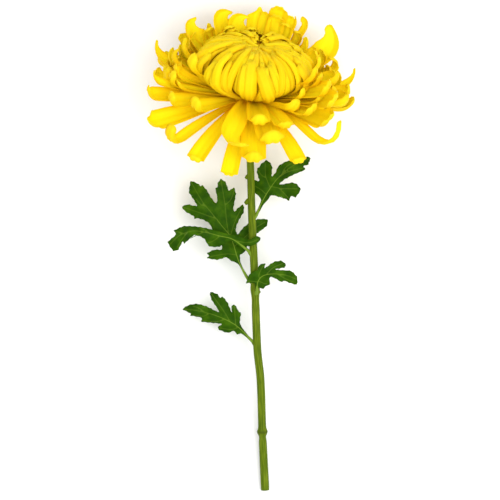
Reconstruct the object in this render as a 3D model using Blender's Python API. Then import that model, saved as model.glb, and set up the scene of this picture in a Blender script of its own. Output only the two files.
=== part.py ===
"""A large incurved chrysanthemum, one cut flower laid on a flat surface.

The bloom is one body: strap-shaped florets, rooted in a core, incurved to a ball in the
middle and spread to a skirt of curled straps round it.  Under it sits a green calyx of
bracts, then a stem with a bend at its neck, and five lobed leaves on their stalks.
The stem's cut end and the florets behind the bloom rest on the surface at z = 0.
Lengths are in millimetres until a mesh is made, which is in metres.
"""
import math
import random

import bmesh
import bpy
from mathutils import Matrix, Vector
from mathutils.geometry import delaunay_2d_cdt

for old in list(bpy.data.objects):
    bpy.data.objects.remove(old, do_unlink=True)

# Driving dimensions
METRE = 0.001
CLEAR = 0.3
BLOOM_TILT = math.radians(25)
BLOOM_LEAN = math.radians(8)
BLOOM_BASE = Vector((-1.0, 90.9, 50.0))
BALL_RADIUS = 33.0
BALL_WAIST = 20.0
BALL_TOP = 38.0
BALL_MIDDLE = 17.0
# Powers that make the ball's outline narrow at its foot and full at its side and crown
BALL_FOOT, BALL_SIDE, BALL_CROWN = 1.15, 0.8, 0.9
CORE_SCALE = 0.84
SUNK_SCALE = 0.74
ROOT_RADIUS = 4.0
ROOT_RISE = 0.5
FLORET_THICK = 1.1
CALYX_TOP = -3.3
CALYX_DEPTH = 9.0
CALYX_RADIUS = 10.5
LEAF_THICK = 0.8
GRID = 0.6
PRESSED = 0.3

# The bloom's own directions: its axis, across it, and the side turned up to the viewer
ACROSS = Vector((math.cos(BLOOM_LEAN), -math.sin(BLOOM_LEAN), 0))
AXIS = Vector((math.sin(BLOOM_LEAN), math.cos(BLOOM_LEAN), math.tan(BLOOM_TILT))).normalized()
FRONT = ACROSS.cross(AXIS)

# Florets of the skirt that are placed one by one.  Each row is the place of the bend
# before the tip as seen from above (across, up), how far it is from the bloom's axis,
# less than 0 where it is behind, then width, bow of the strap, curl of the tip, length of
# the tip, lean of the curl, sweep of the tip to one side, and how far it narrows
SKIRT = [
    (-18.5, 43.5, -40, 16.5, 25, 60, 14, 10, -105, 0.88),
    (-9.0, 42.0, -36, 13.5, 20, 60, 13, 10, -105, 0.88),
    (-34.5, 37.0, -46, 17.0, 25, 50, 14, 0, -85, 0.88),
    (5.0, 47.0, -41, 14.0, 15, 50, 8, 0, 0, 0.80),
    (10.5, 45.5, -39, 9.0, 15, 100, 8, -20, 0, 0.40),
    (17.0, 48.5, -43, 12.0, 15, 110, 9, 0, 0, 0.20),
    (15.6, 43.0, -37, 11.0, 15, 120, 10, 0, 0, 0.20),
    (24.0, 43.5, -43, 8.5, 15, 110, 8, 0, 0, 0.30),
    (28.0, 42.0, -46, 6.0, 10, 50, 8, -60, 0, 0.80),
    (33.5, 40.0, -48, 7.5, 15, 60, 10, -30, 60, 0.50),
    (-26.0, 34.0, -39, 11.0, 20, 120, 11, 10, 0, 0.35),
    (-14.0, 36.5, -33, 11.0, 20, 130, 11, 0, 0, 0.30),
    (0.0, 36.0, -30, 11.0, 20, 130, 11, 0, 0, 0.30),
    (21.0, 38.0, -37, 10.5, 20, 130, 11, 0, 0, 0.30),
    (29.5, 33.0, -41, 10.0, 20, 130, 10, -20, 0, 0.30),
    (-49.0, 21.0, -54, 9.0, 20, 75, 17, -10, -30, 0.75),
    (-43.5, 19.5, -48, 8.0, 20, 130, 12, 0, 0, 0.45),
    (-36.5, 20.0, -42, 13.0, 15, 90, 11, -20, 0, 0.45),
    (-52.0, 8.0, 56, 8.0, 15, 85, 13, -15, -20, 0.80),
    (-55.0, 0.0, 58, 13.5, 10, 100, 13, -15, 0, 0.65),
    (-44.0, 8.0, 48, 12.0, 10, 120, 12, -20, 0, 0.35),
    (-54.0, -15.0, 59, 15.0, 0, 80, 11, -25, 0, 0.65),
    (-43.2, -3.6, 50, 12.0, 5, 110, 13, -25, 0, 0.35),
    (-30.0, -7.5, 45, 12.0, 0, 110, 13, -15, 0, 0.25),
    (-40.0, -25.0, 56, 9.5, -10, 150, 22, 0, 0, 0.20),
    (-31.0, -36.5, 57, 12.0, -20, 110, 8, 0, 0, 0.20),
    (-12.0, -45.0, 53, 10.5, -35, 80, 4, 0, 0, 0.10),
    (-9.5, -21.0, 48, 13.0, -35, 75, 22, -30, 80, 0.10),
    (1.5, -36.0, 52, 15.5, -30, 145, 13, 0, 0, 0.30),
    (4.8, -16.0, 44, 14.0, -25, 130, 10, 0, 0, 0.30),
    (11.5, -26.0, 50, 17.0, -30, 140, 12, 10, 0, 0.15),
    (19.0, -18.0, 46, 13.0, -20, 90, 8, 0, 0, 0.20),
    (26.5, -37.5, 55, 12.0, -20, 110, 8, 0, 0, 0.20),
    (34.5, -22.5, 53, 8.5, -25, 125, 39, 0, 0, 0.55),
    (42.0, -14.5, 52, 19.0, 0, 70, 10, 25, 0, 0.20),
    (46.0, -4.5, 54, 18.0, 0, 70, 9, 25, 0, 0.20),
    (43.5, 2.5, 50, 16.0, 5, 70, 9, 25, 0, 0.25),
    (34.5, -9.5, 48, 15.0, 0, 80, 9, 20, 0, 0.25),
    (55.0, -4.5, -58, 10.0, 5, 100, 10, 15, 0, 0.40),
    (52.5, 6.0, -57, 8.0, 15, 85, 18, 0, 20, 0.75),
    (46.0, 13.0, -51, 8.5, 20, 160, 19, 0, 0, 0.35),
    (43.0, 11.0, -46, 12.5, 15, 120, 12, 10, 0, 0.35),
    (41.5, 25.0, -49, 16.0, 15, 35, 22, 20, 75, 0.65),
    (41.0, 20.0, -46, 11.0, 20, 110, 11, 0, 0, 0.35),
    (35.0, 8.5, 38, 11.0, 15, 70, 12, 0, 0, 0.45),
    (28.2, -1.5, 37, 7.0, 10, 90, 10, 0, 0, 0.35),
    (21.6, -8.0, 38, 11.0, 5, 100, 11, -30, 0, 0.35),
]

# Tiers of the skirt that follow a rule: first and last azimuth, florets, reach, rise
TIERS = [
    (104, 256, 10, 57.5, -3.0),
    (76, 284, 9, 49.0, 6.0),
    (84, 276, 6, 45.0, 14.0),
]

# Rings of the ball: florets, scale, where they leave the core, where they end, width
RINGS = [
    (12, 1.06, 0.12, 0.72, 9.5),
    (12, 1.00, 0.30, 0.84, 10.0),
    (9, 0.94, 0.50, 0.97, 9.0),
]
# Florets in front of the ball placed one by one: azimuth, swirl, scale, end, width
FOREMOST = [
    (36, -28, 1.16, 0.70, 10.5),
    (-22, -20, 1.16, 0.56, 9.0),
    (2, -6, 1.12, 0.76, 11.0),
    (66, -4, 1.17, 0.68, 9.5),
    (-52, 4, 1.13, 0.64, 8.0),
    (-78, 6, 1.14, 0.76, 8.0),
]

# The stem's centre line as seen from above and its height, then its radius, bloom to cut
NECK = BLOOM_BASE + AXIS * (CALYX_TOP - CALYX_DEPTH - CLEAR)
STEM = [
    (NECK.x, NECK.y, NECK.z, 2.9),
    (-2.2, 75.5, 42.7, 2.4),
    (-1.5, 68.0, 39.7, 2.2),
    (-0.7, 50.7, 35.2, 2.2),
    (0.2, 19.5, 29.3, 2.3),
    (1.9, -18.0, 22.8, 2.4),
    (3.5, -60.3, 16.0, 2.4),
    (5.4, -78.3, 13.1, 2.4),
    (6.5, -110.1, 7.9, 2.4),
    (8.2, -145.5, 2.2, 2.5),
]
# Knuckles of the stem: place along the centre line (up), length, extra radius
KNUCKLES = [(-110.1, 1.6, 0.85), (-24.0, 3.0, 0.45)]
# Buds, scars and leaf cushions: up, turn round the stem from the right, size, how far out
BUDS = [
    (28.5, 175, 2.0, 3.2),
    (43.5, 180, 1.6, 2.8),
    (-25.5, 0, 1.4, 2.2),
    (-56.5, 165, 1.3, 2.2),
]


def smooth(x):
    """Rise evenly from 0 to 1 as x goes from 0 to 1."""
    x = min(1.0, max(0.0, x))
    return x * x * (3 - 2 * x)


def bloom_point(azimuth, reach, rise):
    """Give the place at an azimuth, a distance from the bloom's axis and a rise along it."""
    out = FRONT * math.cos(azimuth) + ACROSS * math.sin(azimuth)
    return BLOOM_BASE + out * reach + AXIS * rise


def press(point):
    """Lay a point that would sink into the surface along it."""
    depth = 4.0
    if point.z < PRESSED + depth:
        sunk = PRESSED + depth - point.z
        point.z = PRESSED + depth - depth * math.tanh(sunk / depth)
    return point


def new_mesh(name, points, faces):
    """Make a mesh in metres from points in millimetres, with its faces pointing out."""
    mesh = bpy.data.meshes.new(name)
    mesh.from_pydata([p * METRE for p in points], [], faces)
    work = bmesh.new()
    work.from_mesh(mesh)
    bmesh.ops.recalc_face_normals(work, faces=work.faces)
    work.to_mesh(mesh)
    work.free()
    return mesh


def place(name, mesh, material=None):
    """Add an object for a mesh, with its material."""
    piece = bpy.data.objects.new(name, mesh)
    bpy.context.scene.collection.objects.link(piece)
    if material:
        piece.data.materials.clear()
        piece.data.materials.append(material)
    return piece


def finish(name, colour, roughness):
    """Make a plain Principled material."""
    material = bpy.data.materials.new(name)
    material.use_nodes = True
    shader = material.node_tree.nodes["Principled BSDF"]
    shader.inputs["Base Color"].default_value = (*colour, 1)
    shader.inputs["Roughness"].default_value = roughness
    return material


def blade(name, rings):
    """Make a strap from rings of (point, across, inward, half width, hollow, thickness)."""
    points = []
    for point, across, inward, half, hollow, thick in rings:
        points.append(point - across * half + inward * hollow)
        points.append(point + inward * thick / 2)
        points.append(point + across * half + inward * hollow)
        points.append(point - inward * thick / 2)
    faces = [(0, 1, 3), (1, 2, 3)]
    for ring in range(len(rings) - 1):
        left, upper, right, lower = (4 * ring + corner for corner in range(4))
        for edge in (left, right):
            for face in (upper, lower):
                faces.append((edge, face, face + 4))
                faces.append((edge, face + 4, edge + 4))
    last = 4 * (len(rings) - 1)
    faces += [(last, last + 1, last + 3), (last + 1, last + 2, last + 3)]
    return new_mesh(name, points, faces)


def union(base, pieces):
    """Fuse pieces into the base with one Boolean, and drop scraps and sealed hollows."""
    group = bpy.data.collections.new(base.name + "_pieces")
    bpy.context.scene.collection.children.link(group)
    for piece in pieces:
        bpy.context.scene.collection.objects.unlink(piece)
        group.objects.link(piece)
    fuse = base.modifiers.new("fuse", "BOOLEAN")
    fuse.operation = "UNION"
    fuse.solver = "EXACT"
    fuse.operand_type = "COLLECTION"
    fuse.collection = group
    bake(base)
    for piece in pieces:
        bpy.data.objects.remove(piece, do_unlink=True)
    bpy.data.collections.remove(group)
    keep_largest(base.data)


def cut(base, cutter):
    """Cut a tool's shape away from the base."""
    shave = base.modifiers.new("shave", "BOOLEAN")
    shave.operation = "DIFFERENCE"
    shave.solver = "EXACT"
    shave.object = cutter
    bake(base)
    bpy.data.objects.remove(cutter, do_unlink=True)
    keep_largest(base.data)


def bake(piece):
    """Apply an object's modifiers to its mesh."""
    bpy.context.view_layer.update()
    graph = bpy.context.evaluated_depsgraph_get()
    baked = bpy.data.meshes.new_from_object(piece.evaluated_get(graph))
    piece.modifiers.clear()
    piece.data = baked


def keep_largest(mesh):
    """Keep only the body with the most faces."""
    work = bmesh.new()
    work.from_mesh(mesh)
    bmesh.ops.triangulate(work, faces=work.faces)
    unseen = set(work.faces)
    bodies = []
    while unseen:
        body = [unseen.pop()]
        for face in body:
            for edge in face.edges:
                for near in edge.link_faces if edge.is_manifold else ():
                    if near in unseen:
                        unseen.remove(near)
                        body.append(near)
        bodies.append(body)
    bodies.sort(key=len)
    for body in bodies[:-1]:
        bmesh.ops.delete(work, geom=body, context="FACES")
    work.to_mesh(mesh)
    work.free()


def ball_outline(t):
    """Give reach and rise on the ball's outline: 0 is its base, 0.5 its waist, 1 its pole."""
    if t < 0.5:
        return BALL_RADIUS * math.sin(math.pi * t) ** BALL_FOOT, BALL_WAIST * 2 * t
    turn = (t - 0.5) * math.pi
    reach = BALL_RADIUS * max(0.0, math.cos(turn)) ** BALL_SIDE
    return reach, BALL_WAIST + (BALL_TOP - BALL_WAIST) * math.sin(turn) ** BALL_CROWN


def ball_floret(azimuth, scale, start, end, width, swirl):
    """Give the rings of an incurved floret that follows the ball's outline."""
    spans = 4
    line = []
    for step in range(spans + 1):
        along = step / spans
        reach, rise = ball_outline(start + (end - start) * along)
        size = scale * (1 - 0.05 * smooth((along - 0.7) / 0.3))
        size = SUNK_SCALE + (size - SUNK_SCALE) * smooth(along / 0.25)
        turn = azimuth + swirl * along
        line.append(bloom_point(turn, reach * size, BALL_MIDDLE + (rise - BALL_MIDDLE) * size))
    middle = BLOOM_BASE + AXIS * BALL_MIDDLE
    rings = []
    for step, point in enumerate(line):
        ahead = line[min(step + 1, spans)] - line[max(step - 1, 0)]
        inward = middle - point
        across = ahead.cross(inward).normalized()
        inward = across.cross(ahead).normalized()
        along = step / spans
        half = width / 2 * (0.55 + 0.45 * smooth(along / 0.4)) * (1 - 0.55 * smooth((along - 0.6) / 0.4))
        rings.append((press(point), across, inward, half, 0.42 * half, FLORET_THICK))
    return rings


def skirt_floret(azimuth, reach, rise, width, bow, curl, tip, lean, sweep, taper):
    """Give the rings of a skirt floret: a bowed strap, then a tip that curls inward."""
    body_spans, tip_spans = 2, 3
    run = reach - ROOT_RADIUS
    climb = rise - ROOT_RISE
    chord = math.hypot(run, climb)
    heading = math.atan2(climb, run)
    bow, curl, lean, sweep = (math.radians(angle) for angle in (bow, curl, lean, sweep))
    strap = chord * (bow / 2) / math.sin(bow / 2) if bow else chord
    out = FRONT * math.cos(azimuth) + ACROSS * math.sin(azimuth)
    heading -= bow / 2
    ahead = out * math.cos(heading) + AXIS * math.sin(heading)
    inward = AXIS * math.cos(heading) - out * math.sin(heading)
    point = bloom_point(azimuth, ROOT_RADIUS, ROOT_RISE)
    fine = 8
    body, end = body_spans * fine, tip_spans * fine
    steps = [(strap / body, bow / body, lean / body, 0.0)] * body
    for step in range(end):
        share = ((step + 1) / end) ** 1.3 - (step / end) ** 1.3
        steps.append((tip / end, curl * share, 0.0, sweep * share))
    rings = []
    for count in range(body + end + 1):
        if count % fine == 0:
            along = count / (body + end)
            half = width / 2 * (0.4 + 0.6 * smooth(along / 0.45)) * (1 - taper * smooth((along - 0.45) / 0.55))
            across = ahead.cross(inward)
            rings.append((press(point.copy()), across, inward.copy(), half, 0.4 * half, FLORET_THICK))
        if count == len(steps):
            break
        length, bend, roll, turn = steps[count]
        inward = Matrix.Rotation(roll, 3, ahead) @ inward
        ahead = Matrix.Rotation(turn, 3, inward) @ ahead
        over = Matrix.Rotation(bend, 3, ahead.cross(inward))
        point = point + ahead * length
        ahead = (over @ ahead).normalized()
        inward = (over @ inward).normalized()
    return rings


def bloom_rings():
    """List the rings of every floret of the bloom."""
    chance = random.Random(7)
    florets = []
    for across, up, reach, *shape in SKIRT:
        seen = Vector((across, up, 0))
        aside = seen.dot(ACROSS)
        beyond = seen.dot(AXIS) / math.cos(BLOOM_TILT)
        toward = math.copysign(math.sqrt(max(0, reach ** 2 - aside ** 2)), reach)
        rise = (beyond + toward * math.sin(BLOOM_TILT)) / math.cos(BLOOM_TILT)
        florets.append(skirt_floret(math.atan2(aside, toward), abs(reach), rise, *shape))
    for first, last, count, reach, rise in TIERS:
        for number in range(count):
            azimuth = math.radians(first + (last - first) * (number + chance.uniform(-0.2, 0.2)) / (count - 1))
            florets.append(skirt_floret(
                azimuth,
                reach + chance.uniform(-3, 3),
                rise + chance.uniform(-2, 2),
                chance.uniform(9, 12),
                chance.uniform(5, 20),
                chance.uniform(90, 140),
                chance.uniform(9, 13),
                chance.uniform(-15, 15),
                chance.uniform(-30, 30),
                chance.uniform(0.2, 0.5),
            ))
    for ring, (count, scale, start, end, width) in enumerate(RINGS):
        for number in range(count):
            azimuth = math.tau * (number + 0.5 * (ring % 2) + chance.uniform(-0.12, 0.12)) / count
            florets.append(ball_floret(
                azimuth,
                scale + chance.uniform(-0.01, 0.02),
                start,
                end + chance.uniform(-0.03, 0.03),
                width * chance.uniform(0.9, 1.1),
                math.radians(chance.uniform(-5, 5)),
            ))
    for azimuth, swirl, scale, end, width in FOREMOST:
        florets.append(ball_floret(math.radians(azimuth), scale, 0.12, end, width, math.radians(swirl)))
    return florets


def core_mesh():
    """Make the bloom's core: a collar that the skirt is rooted in, below a smaller ball."""
    outline = [(9.0, CALYX_TOP + CLEAR), (17.0, -1.4), (18.0, 0.6), (16.0, 3.5)]
    for row in range(6):
        reach, rise = ball_outline(0.26 + 0.14 * row)
        outline.append((reach * CORE_SCALE, BALL_MIDDLE + (rise - BALL_MIDDLE) * CORE_SCALE))
    return turned("bloom", outline, 20)


def turned(name, outline, sides):
    """Turn an outline of (radius, rise) about the bloom's axis and close it at both ends."""
    points = []
    for radius, rise in outline:
        for side in range(sides):
            points.append(bloom_point(math.tau * side / sides, radius, rise))
    faces = [tuple(range(sides))]
    for row in range(len(outline) - 1):
        for side in range(sides):
            here, there = row * sides + side, row * sides + (side + 1) % sides
            faces.append((here, there, there + sides, here + sides))
    faces.append(tuple(range(len(points) - sides, len(points))))
    return new_mesh(name, points, faces)


def make_bloom():
    """Build the bloom: core and florets fused, clear of the calyx and flat on the surface."""
    bloom = place("bloom", core_mesh(), finish("floret", (0.95, 0.78, 0.03), 0.55))
    pieces = [place("floret", blade("floret", rings)) for rings in bloom_rings()]
    union(bloom, pieces)
    room = [
        (CALYX_RADIUS + 4, CALYX_TOP - 30),
        (CALYX_RADIUS + 1.5, CALYX_TOP - 1),
        (CALYX_RADIUS - 1, CALYX_TOP + CLEAR),
    ]
    cut(bloom, place("calyx_room", turned("calyx_room", room, 20)))
    below = new_mesh("below", *box_shape(Vector((-200, -300, -50)), Vector((200, 300, 0))))
    cut(bloom, place("below", below))
    return bloom


def box_shape(low, high):
    """Give the points and faces of a box between two corners."""
    points = [Vector((x, y, z)) for x in (low.x, high.x) for y in (low.y, high.y) for z in (low.z, high.z)]
    faces = [(0, 1, 3, 2), (4, 6, 7, 5), (0, 4, 5, 1), (2, 3, 7, 6), (0, 2, 6, 4), (1, 5, 7, 3)]
    return points, faces


def make_calyx():
    """Build the calyx: a shallow cup with a ring of pointed bracts fused to it."""
    green = finish("calyx", (0.16, 0.30, 0.05), 0.6)
    outline = [
        (3.2, CALYX_TOP - CALYX_DEPTH),
        (6.0, CALYX_TOP - 6.0),
        (8.6, CALYX_TOP - 2.6),
        (9.2, CALYX_TOP - 0.4),
        (8.8, CALYX_TOP),
    ]
    calyx = place("calyx", turned("calyx", outline, 18), green)
    bracts = []
    count = 12
    for number in range(count):
        azimuth = math.tau * number / count
        out = FRONT * math.cos(azimuth) + ACROSS * math.sin(azimuth)
        line = [(4.2, -8.4), (6.9, -6.2), (9.6, -2.6), (CALYX_RADIUS + 0.4, -1.2)]
        rings = []
        for (radius, rise), half in zip(line, (1.2, 2.2, 2.0, 0.5)):
            point = bloom_point(azimuth, radius, CALYX_TOP + rise)
            ahead = (out + AXIS * 1.2).normalized()
            inward = (AXIS - out * 0.8).normalized()
            rings.append((point, ahead.cross(inward).normalized(), inward, half, 0.3 * half, 0.9))
        bracts.append(place("bract", blade("bract", rings)))
    union(calyx, bracts)
    return calyx


def stem_at(up):
    """Give the stem's centre and radius at a place along it, by a smooth curve."""
    last = len(STEM) - 2
    for row in range(last + 1):
        if up >= STEM[row + 1][1] or row == last:
            break
    a, b, c, d = (STEM[min(max(i, 0), len(STEM) - 1)] for i in (row - 1, row, row + 1, row + 2))
    t = (up - b[1]) / (c[1] - b[1])
    values = []
    for k in (0, 2, 3):
        slope_b = (c[k] - a[k]) / (c[1] - a[1]) * (c[1] - b[1])
        slope_c = (d[k] - b[k]) / (d[1] - b[1]) * (c[1] - b[1])
        value = b[k] * (1 + 2 * t) * (1 - t) ** 2 + c[k] * t * t * (3 - 2 * t)
        value += slope_b * t * (1 - t) ** 2 - slope_c * t * t * (1 - t)
        values.append(value)
    return Vector((values[0], up, values[1])), values[2]


def make_stem():
    """Build the stem: a round stalk with knuckles, buds and scars, cut across at its foot."""
    green = finish("stem", (0.23, 0.36, 0.04), 0.5)
    sides = 10
    stations = [STEM[0][1] - offset for offset in (0, 2, 4, 7, 12, 18)]
    stations += [58, 45, 32, 19.5, 8, -4, -14]
    stations += [-20, -24, -28, -36, -48, -60.3, -69, -78.3, -90, -100]
    stations += [-106.5, -108.6, -110.1, -111.6, -113.7, -122, -134, STEM[-1][1]]
    points = []
    for station in stations:
        centre, radius = stem_at(station)
        ahead = stem_at(station - 0.5)[0] - centre
        if station == stations[0]:
            ahead = -AXIS
        for place_up, length, extra in KNUCKLES:
            radius += extra * math.exp(-((station - place_up) / length) ** 2)
        side_way = ahead.cross(Vector((0, 0, 1))).normalized()
        up_way = side_way.cross(ahead).normalized()
        for side in range(sides):
            turn = math.tau * side / sides
            points.append(centre + side_way * radius * math.cos(turn) + up_way * radius * math.sin(turn))
    faces = [tuple(range(sides))]
    for row in range(len(stations) - 1):
        for side in range(sides):
            here, there = row * sides + side, row * sides + (side + 1) % sides
            faces.append((here, there, there + sides, here + sides))
    faces.append(tuple(range(len(points) - sides, len(points))))
    stem = place("stem", new_mesh("stem", points, faces), green)
    buds = []
    for up, turn, size, out in BUDS:
        centre, radius = stem_at(up)
        turn = math.radians(turn)
        way = Vector((math.cos(turn), 0.15, math.sin(turn))).normalized()
        work = bmesh.new()
        bmesh.ops.create_icosphere(work, subdivisions=1, radius=size * METRE)
        mesh = bpy.data.meshes.new("bud")
        work.to_mesh(mesh)
        work.free()
        bud = place("bud", mesh)
        bud.location = (centre + way * out) * METRE
        buds.append(bud)
    union(stem, buds)
    below = new_mesh("below", *box_shape(Vector((-200, -300, -50)), Vector((200, 300, 0))))
    cut(stem, place("below", below))
    return stem


# Leaves, drawn on a grid of GRID millimetres from the place where the stalk meets the
# stem.  Each has that place (across, up), its height above the stem's centre line, the
# edge all round with its lobes and teeth, and props that give the blade's height in
# millimetres above that place
LEAVES = {
    "leaf_upper_right": (
        (3.4, 21.5),
        0.0,
        [
            (-1.0, 1.2), (3.7, 13), (1.7, 17.5), (-2.5, 21), (-6, 25), (-7, 31), (-4.5, 35), (0, 33),
            (1.7, 34), (-0.3, 40.5), (-0.3, 45.5), (1.7, 46.5), (3.2, 49.5), (9.2, 54), (13.7, 50.5),
            (15.2, 46.5), (14.7, 38), (18.2, 41.5), (21.2, 48), (29.7, 53), (39.7, 54), (47.7, 55),
            (49.7, 58), (53.7, 55.5), (51.7, 51), (52.2, 49.5), (46.7, 47.5), (48.2, 44), (36.7, 39),
            (27.2, 34), (22.7, 29.5), (35.2, 31.5), (40.2, 29.5), (43.7, 24), (38.7, 16.5), (33.7, 17.5),
            (32.2, 13), (27.2, 15), (14.7, 18.5), (10.7, 14), (6.2, 9), (1.2, 0.2),
        ],
        [
            (0, 0, 0), (5, 12, -1.5), (-5, 28, -3), (11, 23, -1.5), (21, 36, 0.5), (9, 52, -1.5),
            (36, 47, 2.5), (53, 55, -1), (43, 25, 1), (32, 15, -2.5),
        ],
    ),
    "leaf_upper_left": (
        (-1.0, -1.5),
        1.2,
        [
            (-2.6, 0.4), (-12, 7), (-19, 11.5), (-25, 8.5), (-31, 5), (-38.5, 5), (-42, 6.5), (-45.5, 12.5),
            (-49, 15), (-56, 16.5), (-65.5, 8.5), (-67.5, 10), (-72, 2), (-77, 1), (-81, 6), (-82.5, 10.5),
            (-74.5, 17.5), (-76.5, 21.5), (-67, 26), (-56, 26), (-45.5, 24.5), (-37.5, 22.5), (-28, 20),
            (-20, 17.5), (-14, 17), (-7, 14), (0, 12.5), (6, 16), (10.5, 14.5), (10, 11.5), (6, 8),
            (-1, 5.5), (-6, 7), (-1.5, 2.4),
        ],
        [
            (-1, 1, 0), (-9.5, 8, 2.5), (-19, 14, 5), (-30, 14, 7), (-46, 19, 7.5), (-58, 21, 5.5),
            (-72, 17, 0), (-80, 7, -5), (-38, 7, 4.5), (-68, 6, -2.5), (6, 12, 5.5), (0, 9, 5),
        ],
    ),
    "leaf_big_left": (
        (-2.2, -17.7),
        0.0,
        [
            (0.2, -2.4), (-4, 5), (-10, 15), (-18, 18.5), (-21.5, 21.5), (-30.5, 19), (-41, 20.5),
            (-39.5, 23), (-41, 26), (-34, 29.5), (-26, 30), (-29, 39), (-36, 50), (-38.5, 55),
            (-43.5, 58.5), (-49.5, 60.5), (-54, 60.5), (-55, 63), (-63, 67.5), (-66.5, 72.5),
            (-60.5, 75), (-51.5, 73.5), (-56, 81.5), (-59.5, 87), (-59, 92), (-57.5, 98.5), (-50.5, 96),
            (-47.5, 93.5), (-46, 94.5), (-41, 89), (-37, 82), (-32, 76), (-31, 81.5), (-33, 90.5),
            (-31, 92), (-30.5, 96), (-27.5, 100.5), (-23, 98), (-21.5, 95.5), (-19, 89), (-14, 92),
            (-12, 86), (-12.5, 81.5), (-14.5, 70.5), (-13.5, 68), (-10, 71.5), (-5, 75), (-4, 72.5),
            (-4, 67), (-6.5, 63), (-10, 56.5), (-12, 50.5), (-10.5, 45), (-5, 51.5), (0, 55.5), (9, 60),
            (19.5, 60), (19, 53), (8, 44.5), (1, 36), (-3, 27), (-7.5, 24), (-7.5, 17), (-4, 9),
            (1.6, -1.2),
        ],
        [
            (1, -2, 0), (-9, 17, -1), (-17, 41, -2.5), (19, 57, -3), (8, 48, -2.5), (-5, 72, -2),
            (-27, 98, 0), (-14, 90, -1.5), (-46, 78, 0.5), (-57, 97, -2.5), (-66, 72, -3),
            (-40, 22, -2.5), (-33, 58, -0.5),
        ],
    ),
    "leaf_small_right": (
        (3.2, -24.3),
        3.9,
        [
            (-1.2, -2), (-1.5, 4.5), (-3, 7), (-8, 7), (-11, 6.5), (-9.5, 11), (-8, 15), (-4, 18.5),
            (0.5, 20), (1.5, 24), (5.5, 26.5), (8.5, 26.5), (8, 22), (12, 25), (17.5, 28.5), (24.5, 29.5),
            (28, 27), (29.5, 24.5), (27, 22), (19, 20.5), (33.5, 19.5), (36.5, 17.5), (40, 14), (41, 10),
            (40, 5), (33.5, 6.5), (27, 9), (25, 7.5), (19, 11), (14, 13), (12.5, 11), (13, 5.5),
            (8.5, 3.5), (6.5, 1), (1.7, 2), (1.2, -2),
        ],
        [
            (0, -2, 0), (0, 4, 1.5), (-10, 8, 0.5), (-4, 17, 3), (8, 25, 4), (14, 13, 4.5), (24, 26, 3),
            (38, 10, -0.5), (8, 3, 2.5), (30, 18, 3),
        ],
    ),
    "leaf_lower_left": (
        (0.8, -55.8),
        0.0,
        [
            (-1.5, -0.3), (-7, 5), (-12, 8.5), (-16, 7.5), (-19, 11), (-25.5, 9), (-34, 12), (-35.5, 15),
            (-32, 18), (-42, 19), (-52.5, 20.5), (-51.5, 24), (-63, 26.5), (-63, 28.5), (-71, 33),
            (-64, 37.5), (-55.5, 38.5), (-46.5, 36), (-34.5, 30.5), (-41.5, 42), (-43, 46), (-43, 50.5),
            (-36, 48.5), (-32.5, 44.5), (-30.5, 46), (-25.5, 40), (-23, 34), (-21, 30), (-22, 35),
            (-19, 38), (-16, 34.5), (-14, 30.5), (-12, 30), (-12, 27), (-13, 20.5), (-12, 16.5),
            (-9, 12), (-4.5, 6.5), (-0.3, 1.6),
        ],
        [
            (0, 0, 0), (-12, 12, -0.5), (-25, 10, -3), (-35, 14, -4), (-22, 20, 0), (-38, 27, 1),
            (-56, 31, 0), (-70, 33, -4), (-43, 49, -2), (-30, 44, -0.5), (-19, 37, -2), (-52, 21, -2.5),
        ],
    ),
}


def make_leaf(name, joint, lift, edge, props, material):
    """Build a leaf: its lobed outline filled with triangles, the same on both faces."""
    base = Vector((joint[0], joint[1], stem_at(joint[1])[0].z + lift))

    def height(x, y):
        total = weight = 0.0
        for prop_x, prop_y, rise in props:
            near = 1.0 / ((x - prop_x) ** 2 + (y - prop_y) ** 2 + 4.0) ** 1.5
            total += near * rise
            weight += near
        return total / weight

    outline = [Vector(point) for point in edge]
    spacing = 8.0
    inner = []
    low_x, high_x = min(p.x for p in outline), max(p.x for p in outline)
    low_y, high_y = min(p.y for p in outline), max(p.y for p in outline)
    y = low_y + spacing / 2
    while y < high_y:
        x = low_x + spacing / 2
        while x < high_x:
            if inside(x, y, outline) and clearance(x, y, outline) > 2.2:
                inner.append(Vector((x, y)))
            x += spacing
        y += spacing
    count = len(outline)
    flat, _, triangles, *_ = delaunay_2d_cdt(outline + inner, [], [list(range(count))], 1, 0.01)
    points = []
    for side in (0.5, -0.5):
        for point in flat:
            rise = height(point.x, point.y) + side * LEAF_THICK
            points.append(base + Vector((point.x * GRID, point.y * GRID, rise)))
    size = len(flat)
    edges = {}
    faces = []
    for triangle in triangles:
        faces.append(tuple(triangle))
        faces.append(tuple(corner + size for corner in reversed(triangle)))
        for start, end in zip(triangle, triangle[1:] + triangle[:1]):
            edges[(start, end)] = True
    for start, end in edges:
        if (end, start) not in edges:
            faces.append((end, start, start + size))
            faces.append((end, start + size, end + size))
    return place(name, new_mesh(name, points, faces), material)


def inside(x, y, outline):
    """Tell whether a point lies inside an outline."""
    within = False
    for a, b in zip(outline, outline[1:] + outline[:1]):
        if (a.y > y) != (b.y > y) and x < a.x + (y - a.y) / (b.y - a.y) * (b.x - a.x):
            within = not within
    return within


def clearance(x, y, outline):
    """Give the distance from a point to an outline."""
    point = Vector((x, y))
    best = 1e9
    for a, b in zip(outline, outline[1:] + outline[:1]):
        run = b - a
        t = min(1.0, max(0.0, (point - a).dot(run) / run.dot(run)))
        best = min(best, (point - a - run * t).length)
    return best


make_bloom()
make_calyx()
make_stem()
leaf_green = finish("leaf", (0.05, 0.16, 0.02), 0.5)
for leaf_name, (leaf_joint, leaf_lift, leaf_edge, leaf_props) in LEAVES.items():
    make_leaf(leaf_name, leaf_joint, leaf_lift, leaf_edge, leaf_props, leaf_green)
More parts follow.
